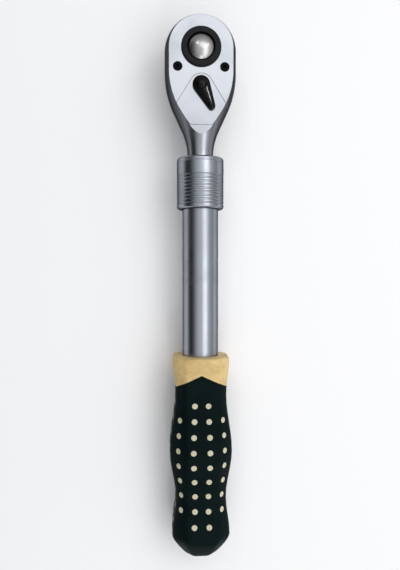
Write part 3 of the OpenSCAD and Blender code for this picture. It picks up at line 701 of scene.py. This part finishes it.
@dataclass(frozen=True)
class Lever:
    """Reversing lever: a drop-shaped arm with a ridge, and a domed boss on its hub.

    Heights of the arm and the boss are above foot_z.

    Attributes:
        foot_z: height of the arm's underside.
        foot_gap: how far below it the CAD node's stem is cut.
        root: how far the stem then reaches up, into the arm.
        hub_r: the arm's radius round the lever's axis.
        tip_r: its radius at the tip.
        reach: length from the axis to the tip's centre.
        wall: height at which the arm's wall ends and its slopes start.
        ridge: height of the ridge at the hub.
        ridge_tip: height of the ridge at the tip.
        boss_r: the boss's radius.
        boss_wall: height at which the boss's dome starts.
        boss_top: height of the dome's top.
        hub_steps: stretches of the outline round the hub.
        tip_steps: stretches round the tip.
        side_steps: stretches along each side.
        boss_steps: stretches round the boss.
        boss_rows: rows of faces up its dome.
        sharp_deg: least angle of an edge that stays sharp.
        wall_share: share of the wall below its rounded edge.
        slopes: rings from the wall to the ridge, by their share of the outline's width and of the rise.
    """

    foot_z: float = 35.1 * MM
    foot_gap: float = 0.1 * MM
    root: float = 0.6 * MM
    hub_r: float = 4.8 * MM
    tip_r: float = 2.1 * MM
    reach: float = 13.0 * MM
    wall: float = 1.1 * MM
    ridge: float = 2.75 * MM
    ridge_tip: float = 1.95 * MM
    boss_r: float = 3.25 * MM
    boss_wall: float = 2.1 * MM
    boss_top: float = 3.78 * MM
    hub_steps: int = 26
    tip_steps: int = 12
    side_steps: int = 8
    boss_steps: int = 32
    boss_rows: int = 6
    sharp_deg: float = 40.0
    wall_share: float = 0.85
    slopes: Stops = (
        (0.985, 0.02), (0.95, 0.06), (0.8, 0.26), (0.5, 0.6), (0.25, 0.84), (0.1, 0.96), (0.0, 1.0))

    def build(self, material: bpy.types.Material) -> None:
        """Builds the lever's top on the CAD node's stem.

        Args:
            material: the lever's finish.
        """
        shape = self._stem()
        top = bmesh.new()
        self._arm(top)
        self._boss(top)
        joint = joint_named("lever_flip")
        # At rest the arm stands half its swing to one side of the tool's length.
        swing = Matrix.Rotation(-math.radians(sum(joint["range_deg"]) / 2), 4, "Z")
        place = Matrix.Translation((*joint["pos_m"][:2], self.foot_z))
        bmesh.ops.transform(top, matrix=place @ swing, verts=top.verts)
        mesh = bpy.data.meshes.new("lever_top")
        top.to_mesh(mesh)
        top.free()
        shape.from_mesh(mesh)
        bpy.data.meshes.remove(mesh)
        shade(shape, self.sharp_deg)
        finish_piece(shape, "lever_skin", "lever", material, "reversing_lever")

    def _stem(self) -> bmesh.types.BMesh:
        """Cuts the CAD node's stem off below the arm, and roots it in the new arm.

        Returns:
            The closed stem.
        """
        shape = copy_of_node("reversing_lever")
        cut = bmesh.ops.bisect_plane(
            shape, geom=[*shape.verts, *shape.edges, *shape.faces],
            plane_co=(0.0, 0.0, self.foot_z - self.foot_gap), plane_no=(0.0, 0.0, 1.0), clear_outer=True)
        rim = [part for part in cut["geom_cut"] if isinstance(part, bmesh.types.BMEdge)]
        grown = bmesh.ops.extrude_edge_only(shape, edges=rim)["geom"]
        ends = [part for part in grown if isinstance(part, bmesh.types.BMVert)]
        bmesh.ops.translate(shape, verts=ends, vec=(0.0, 0.0, self.root))
        bmesh.ops.holes_fill(shape, edges=[edge for edge in shape.edges if edge.is_boundary], sides=0)
        bmesh.ops.recalc_face_normals(shape, faces=shape.faces)
        return shape

    def _outline(self) -> list[tuple[Vector, Vector, float]]:
        """Walks round the drop shape.

        Returns:
            Each point, its foot on the spine and that foot's share of the reach.
        """
        tilt = math.asin((self.hub_r - self.tip_r) / self.reach)
        hub_turn = math.pi + 2 * tilt
        tip_turn = math.pi - 2 * tilt
        sides = [step / self.side_steps for step in range(1, self.side_steps)]
        stops = [(hub_turn * step / self.hub_steps - tilt, 0.0) for step in range(self.hub_steps + 1)]
        stops += [(math.pi + tilt, share) for share in sides]
        stops += [(math.pi + tilt + tip_turn * step / self.tip_steps, 1.0)
                  for step in range(self.tip_steps + 1)]
        stops += [(-tilt, share) for share in reversed(sides)]
        points = []
        for angle, share in stops:
            spine = Vector((0.0, -self.reach * share, 0.0))
            radius = self.hub_r + (self.tip_r - self.hub_r) * share
            points.append((spine + radius * Vector((math.cos(angle), math.sin(angle), 0.0)), spine, share))
        return points

    def _arm(self, shape: bmesh.types.BMesh) -> None:
        """Adds the arm, grown ring by ring from its foot to the ridge along its spine.

        Args:
            shape: the mesh that takes it.
        """
        outline = self._outline()
        face = shape.faces.new([shape.verts.new(point) for point, _, _ in outline])
        foot = list(face.verts)
        face = bmesh.ops.extrude_discrete_faces(shape, faces=[face])["faces"][0]
        bmesh.ops.translate(shape, verts=face.verts, vec=(0.0, 0.0, self.wall_share * self.wall))
        for width, rise in self.slopes:
            face = bmesh.ops.extrude_discrete_faces(shape, faces=[face])["faces"][0]
            for vert, (point, spine, share) in zip(face.verts, outline):
                ridge = self.ridge + (self.ridge_tip - self.ridge) * share
                height = self.wall + (ridge - self.wall) * rise
                vert.co = spine.lerp(point, width) + Vector((0.0, 0.0, height))
        bmesh.ops.delete(shape, geom=[face], context="FACES_ONLY")
        shape.faces.new(reversed(foot))
        weld(shape)

    def _boss(self, shape: bmesh.types.BMesh) -> None:
        """Adds the round boss on the hub.

        Args:
            shape: the mesh that takes it.
        """
        crown = self.boss_top - self.boss_wall
        profile = [(0.0, self.wall), (self.boss_r, self.wall)]
        for row in range(self.boss_rows):
            turn = math.pi / 2 * row / self.boss_rows
            profile.append((self.boss_r * math.cos(turn), self.boss_wall + crown * math.sin(turn)))
        profile.append((0.0, self.boss_top))
        verts = [shape.verts.new((radius, 0.0, height)) for radius, height in profile]
        edges = [shape.edges.new(pair) for pair in zip(verts, verts[1:])]
        bmesh.ops.spin(shape, geom=[*verts, *edges], cent=(0.0, 0.0, 0.0), axis=(0.0, 0.0, 1.0),
                       angle=2 * math.pi, steps=self.boss_steps, use_merge=True, use_duplicate=False)
        weld(shape)
        bmesh.ops.recalc_face_normals(shape, faces=shape.faces)


@dataclass(frozen=True)
class Head:
    """Ratchet head with its gear, button, lever and cover plate."""

    steel: bpy.types.Material

    def build(self) -> None:
        """Dresses the head's nodes and builds its springs and the lever's skin."""
        dress_nodes(HEAD_CHROME.build(), "head_body", "cover_plate")
        dress_nodes(SCREW_BLACK.build(), "cover_screws")
        dress_nodes(BLACK_OXIDE.build(), "drive_gear")
        dress_nodes(BUTTON_CHROME.build(), "release_button")
        dress_nodes(self.steel, "thrust_washer", "pawl", "detent_ball", "lever_snap_ring", "lever_plunger")
        Spring("button_spring", "drive", "button_press").build(self.steel)
        Spring("plunger_spring", "lever", "plunger_push").build(self.steel)
        Lever().build(LEVER_BLACK.build())


@dataclass(frozen=True)
class Telescope:
    """Outer tube, locking collar and what they hold."""

    steel: bpy.types.Material

    def build(self) -> None:
        """Dresses the tube's and the collar's nodes and builds the collar's spring."""
        dress_nodes(TUBE_CHROME.build(), "outer_tube")
        dress_nodes(COLLAR_CHROME.build(), "lock_collar", "collar_cap")
        dress_nodes(self.steel, "tube_plug", "collar_snap_ring", "lock_ball_left", "lock_ball_right")
        Spring("collar_spring", "handle", "collar_pull").build(self.steel)


@dataclass(frozen=True)
class Grip:
    """Beige core, rubber sleeve and the dots that show through it.

    Attributes:
        smooth_deg: least angle of an edge of the skins that stays sharp.
        flare_y: where the CAD nodes' flare ends and their domed end starts.
        end_len: radius of that domed end, along the tool.
        end_rows_deg: the rows of that dome, by their turn from the flare.
        end_cuts: cuts across the end, which let it curve.
        cut_snap: how near a cut a vertex counts as on it.
        end_widths: places from the flare to the end, as shares of end_len, and the width at each.
        dot_sides: sides of a dot's rim.
        dot_round: radius of its soft rim.
        dot_round_steps: rows of faces across that rim.
        dot_sink: a dot's height, from its foot to its outer face.
        dot_sharp_deg: least angle of an edge of the dots that stays sharp.
    """

    smooth_deg: float = 32.0
    flare_y: float = -270.27 * MM
    end_len: float = 14.3 * MM
    end_rows_deg: tuple[float, ...] = (0.0, 15.0, 30.0, 45.0, 60.0, 75.0, 84.0)
    end_cuts: int = 14
    cut_snap: float = 0.01 * MM
    end_widths: Stops = (
        (0.0, 1.0), (0.1, 0.985), (0.2, 0.95), (0.3, 0.9), (0.4, 0.842), (0.5, 0.778), (0.6, 0.712),
        (0.7, 0.642), (0.8, 0.565), (0.87, 0.5), (0.93, 0.42), (0.97, 0.335), (0.995, 0.21), (1.0, 0.14))
    dot_sides: int = 24
    dot_round: float = 0.35 * MM
    dot_round_steps: int = 3
    dot_sink: float = 0.8 * MM
    dot_sharp_deg: float = 60.0

    def build(self) -> None:
        """Builds the grip's skins and its dots."""
        self._skin("grip_core", "beige_plastic", BEIGE_PLASTIC.build())
        self._skin("grip_sleeve", "green_black_rubber", GREEN_RUBBER.build())
        self._dots(DOT_PLASTIC.build())

    def _axis(self) -> Vector:
        """Finds the middle of the tube, through which the grip's axis runs."""
        low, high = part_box("outer_tube")
        return (low + high) / 2

    def _skin(self, node: str, slot: str, material: bpy.types.Material) -> None:
        """Builds the smooth skin of the core or of the sleeve.

        Args:
            node: the CAD node that the skin stands for.
            slot: the record's material slot; not used.
            material: the skin's finish.
        """
        shape = copy_of_node(node)
        self._draw_in(shape)
        shade(shape, self.smooth_deg)
        finish_piece(shape, f"{node}_skin", "handle", material, node)

    def _draw_in(self, shape: bmesh.types.BMesh) -> None:
        """Draws the grip's end in below its flare, toward the tool's axis.

        Args:
            shape: a skin of the grip.
        """
        axis = self._axis()
        for cut in range(1, self.end_cuts):
            bmesh.ops.bisect_plane(
                shape, geom=[*shape.verts, *shape.edges, *shape.faces], dist=self.cut_snap,
                plane_co=(0.0, self.flare_y - self.end_len * cut / self.end_cuts, 0.0),
                plane_no=(0.0, 1.0, 0.0))
        turns = [math.radians(turn) for turn in self.end_rows_deg]
        domed = [(math.sin(turn), math.cos(turn)) for turn in turns]
        for vert in shape.verts:
            below = (self.flare_y - vert.co.y) / self.end_len
            if below > 0.0:
                keep = between(self.end_widths, below) / between(domed, below)
                vert.co.x = axis.x + (vert.co.x - axis.x) * keep
                vert.co.z = axis.z + (vert.co.z - axis.z) * keep

    def _dot_places(self) -> list[tuple[Vector, Vector, float]]:
        """Finds the outer face of each dot on its CAD node.

        Returns:
            Centre, outward direction and radius of each dot.
        """
        shape = copy_of_node("grip_dots")
        axis = self._axis()
        places = []
        for island in islands(shape):
            reach = [math.hypot(vert.co.x - axis.x, vert.co.z - axis.z) for vert in island]
            middle = (min(reach) + max(reach)) / 2
            outer = [vert.co for vert, far in zip(island, reach) if far > middle]
            inner = [vert.co for vert, far in zip(island, reach) if far <= middle]
            centre = sum(outer, Vector()) / len(outer)
            foot = sum(inner, Vector()) / len(inner)
            radius = max((point - centre).length for point in outer)
            places.append((centre, (centre - foot).normalized(), radius))
        shape.free()
        return places

    def _dots(self, material: bpy.types.Material) -> None:
        """Builds the dots as low domes with soft rims.

        Args:
            material: the dots' finish.
        """
        shape = bmesh.new()
        for centre, out, radius in self._dot_places():
            turn = out.to_track_quat("Z", "Y").to_matrix().to_4x4()
            made = bmesh.ops.create_circle(
                shape, cap_ends=True, segments=self.dot_sides, radius=radius,
                matrix=Matrix.Translation(centre - out * self.dot_sink) @ turn)
            base = made["verts"][0].link_faces[0]
            grown = bmesh.ops.extrude_face_region(shape, geom=[base])["geom"]
            face = next(part for part in grown if isinstance(part, bmesh.types.BMFace))
            bmesh.ops.translate(shape, verts=face.verts, vec=out * self.dot_sink)
            bmesh.ops.bevel(
                shape, geom=list(face.edges), offset=self.dot_round, offset_type="OFFSET",
                affect="EDGES", segments=self.dot_round_steps, profile=0.5, material=-1)
        bmesh.ops.recalc_face_normals(shape, faces=shape.faces)
        shade(shape, self.dot_sharp_deg)
        finish_piece(shape, "grip_dot_domes", "handle", material, "grip_dots")


def facing(place: Place, aim: Place) -> Matrix:
    """Places something that looks along its own -Z, with +Y as its upper side.

    Args:
        place: where it stands.
        aim: the point that it faces.

    Returns:
        Its matrix.
    """
    back = (Vector(place) - Vector(aim)).normalized()
    right = Vector((0.0, 1.0, 0.0)).cross(back).normalized()
    axes = Matrix((right, back.cross(right), back)).transposed()
    return Matrix.Translation(place) @ axes.to_4x4()


@dataclass(frozen=True)
class Lamp:
    """Soft lamp over the tool, with its power in watts."""

    name: str
    power: float
    size: tuple[float, float]
    place: Place
    aim: Place

    def build(self) -> None:
        """Hangs the lamp."""
        data = bpy.data.lights.new(self.name, "AREA")
        data.shape = "ELLIPSE"
        data.size, data.size_y = self.size
        data.energy = self.power
        lamp = bpy.data.objects.new(self.name, data)
        lamp.matrix_world = facing(self.place, self.aim)
        bpy.context.scene.collection.objects.link(lamp)


@dataclass(frozen=True)
class Studio:
    """Camera, floor, lamps and surroundings.

    The haze is a pale band round the horizon. It fades with height: fastest on the dim side, at -X,
    and slowest along the tool.

    Attributes:
        eye: the camera's place.
        target: the point that it faces.
        lens: its focal length in millimetres.
        sensor: width of its sensor in millimetres.
        sight: nearest and farthest distance that it sees.
        floor_colour: the floor's colour.
        floor_roughness: its roughness.
        floor_specular: strength of its gloss.
        floor_size: half its width.
        rest_y: where the floor meets the drive's tip, at height 0.
        rest_slope: slope at which it rises from there to the grip.
        sky_tilt: how far the sky's bright pole leans to +X, in radians.
        sky_level: brightness of the surroundings.
        sky_colour: their colour.
        sky_stops: the sky's brightness by height toward its pole.
        haze_stops: the haze's brightness by height.
        dim_side: where along X the haze fades fastest, and where the lit side starts.
        lit_side_fade: share of the fade on the lit side.
        along_tool_drop: share of the fade that is lost along the tool.
        panels: the large lamps.
        spark_power: power of each small lamp, for highlights, in watts.
        spark_size: its width.
        spark_aim: the point that the small lamps face.
        spark_places: their names and places.
    """

    eye: Place = (-0.018, -0.12132, 0.33262)
    target: Place = (-0.00013, -0.13036, 0.0253)
    lens: float = 34.13
    sensor: float = 36.0
    sight: tuple[float, float] = (0.01, 20.0)

    floor_colour: Colour = (0.9, 0.9, 0.9)
    floor_roughness: float = 0.9
    floor_specular: float = 0.1
    floor_size: float = 12.0
    rest_y: float = -5.6 * MM
    rest_slope: float = 0.035

    sky_tilt: float = 0.3
    sky_level: float = 1.01
    sky_colour: Colour = (0.965, 0.975, 1.0)
    sky_stops: Stops = (
        (0.2, 0.006), (0.35, 0.07), (0.5, 0.2), (0.62, 0.42), (0.74, 0.68), (0.86, 0.9), (1.0, 1.0))
    haze_stops: Stops = (
        (0.0, 0.47), (0.05, 0.36), (0.1, 0.18), (0.16, 0.08), (0.25, 0.035), (0.4, 0.0))
    dim_side: tuple[float, float] = (-0.95, -0.45)
    lit_side_fade: float = 0.34
    along_tool_drop: float = 0.95

    panels: tuple[Lamp, ...] = (
        Lamp("north_panel", 0.76, (0.6, 0.42), (0.18, 0.25, 0.62), (0.18, 0.25, 0.0)),
        Lamp("side_strip", 1.26, (0.34, 1.0), (0.33, -0.2, 0.62), (0.1, -0.2, 0.0)),
        Lamp("south_panel", 0.13, (0.3, 0.16), (0.0, -0.5, 0.35), (0.0, -0.1, 0.0)))
    spark_power: float = 0.22
    spark_size: float = 0.035
    spark_aim: Place = (0.0, -0.02, 0.03)
    spark_places: tuple[tuple[str, Place], ...] = (
        ("spark_left", (-0.22, 0.4, 0.62)),
        ("spark_right", (0.55, 0.36, 0.62)),
        ("spark_south", (0.06, -0.58, 0.6)))

    def build(self) -> None:
        """Makes the studio, camera first."""
        self._camera()
        self._floor()
        self._surroundings()
        sparks = [Lamp(name, self.spark_power, (self.spark_size, self.spark_size), place, self.spark_aim)
                  for name, place in self.spark_places]
        for lamp in (*self.panels, *sparks):
            lamp.build()
        bpy.context.scene.view_settings.view_transform = "Standard"

    def _camera(self) -> None:
        """Makes the camera at the photograph's viewing angle."""
        data = bpy.data.cameras.new("camera")
        data.lens = self.lens
        data.sensor_width = self.sensor
        data.clip_start, data.clip_end = self.sight
        camera = bpy.data.objects.new("camera", data)
        camera.matrix_world = facing(self.eye, self.target)
        bpy.context.scene.collection.objects.link(camera)
        bpy.context.scene.camera = camera

    def _floor(self) -> None:
        """Makes the floor, on which the drive's tip and the grip rest."""
        shape = bmesh.new()
        bmesh.ops.create_grid(shape, x_segments=1, y_segments=1, size=self.floor_size)
        tilt = Matrix.Rotation(-math.atan(self.rest_slope), 4, "X")
        place = Matrix.Translation((0.0, self.rest_y, 0.0))
        bmesh.ops.transform(shape, matrix=place @ tilt, verts=shape.verts)
        mesh = bpy.data.meshes.new("floor")
        shape.to_mesh(mesh)
        shape.free()
        floor = bpy.data.objects.new("floor", mesh)
        bpy.context.scene.collection.objects.link(floor)
        bench, shader, material = new_material("floor_white")
        bench.fill(shader, {
            "Base Color": self.floor_colour,
            "Roughness": self.floor_roughness,
            "Specular IOR Level": self.floor_specular})
        dress(floor, material)
        floor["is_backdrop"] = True

    def _ramp(self, bench: NodeBench, where: bpy.types.NodeSocket, levels: Stops) -> bpy.types.NodeSocket:
        """Grades the sky's colour along a value.

        Args:
            bench: bench on the world's tree.
            where: socket of the value.
            levels: places along it and the brightness at each.

        Returns:
            The colour's socket.
        """
        ramp = bench.add("ShaderNodeValToRGB", {0: where})
        stops = ramp.color_ramp.elements
        while len(stops) < len(levels):
            stops.new(1.0)
        for stop, (place, level) in zip(stops, levels):
            stop.position = place
            stop.color = (*(level * part for part in self.sky_colour), 1.0)
        return ramp.outputs[0]

    def _surroundings(self) -> None:
        """Makes a soft sky, bright overhead, dim below and pale again at the horizon."""
        world = bpy.data.worlds.new("studio")
        bpy.context.scene.world = world
        world.use_nodes = True
        bench = NodeBench(world.node_tree)
        way = bench.add("ShaderNodeTexCoord").outputs["Generated"]
        pole = Vector((math.sin(self.sky_tilt), 0.0, math.cos(self.sky_tilt)))
        height = bench.add("ShaderNodeVectorMath", {0: way, 1: pole}, operation="DOT_PRODUCT")
        sky = self._ramp(bench, height.outputs["Value"], self.sky_stops)
        parts = bench.add("ShaderNodeSeparateXYZ", {0: way}).outputs
        dimmest, lit = self.dim_side
        fade = bench.add("ShaderNodeMapRange", {
            "Value": parts["X"], "From Min": dimmest, "From Max": lit,
            "To Min": 1.0, "To Max": self.lit_side_fade})
        drop = bench.maths("MULTIPLY", bench.maths("ABSOLUTE", parts["Y"]), self.along_tool_drop)
        share = bench.maths("MULTIPLY", fade.outputs[0], bench.maths("SUBTRACT", 1.0, drop))
        haze = self._ramp(bench, bench.maths("MULTIPLY", parts["Z"], share), self.haze_stops)
        both = bench.add("ShaderNodeVectorMath", {0: sky, 1: haze}, operation="ADD").outputs[0]
        bench.fill(world.node_tree.nodes["Background"], {"Color": both, "Strength": self.sky_level})


def write_sizes() -> None:
    """Gathers the CAD box and the visual model's box side by side; the table is not kept."""
    boxes = {"cad": CAD_BOX, "visual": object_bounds()}
    {name: [list(corner) for corner in box] for name, box in boxes.items()}


def main() -> None:
    """Builds the studio, then each sub-assembly."""
    logging.basicConfig(level=logging.INFO)
    Studio().build()
    EffectLibrary().build()
    steel = BARE_STEEL.build()
    for assembly in (Head(steel), Telescope(steel), Grip()):
        assembly.build()
    write_sizes()


if __name__ == "__main__":
    main()
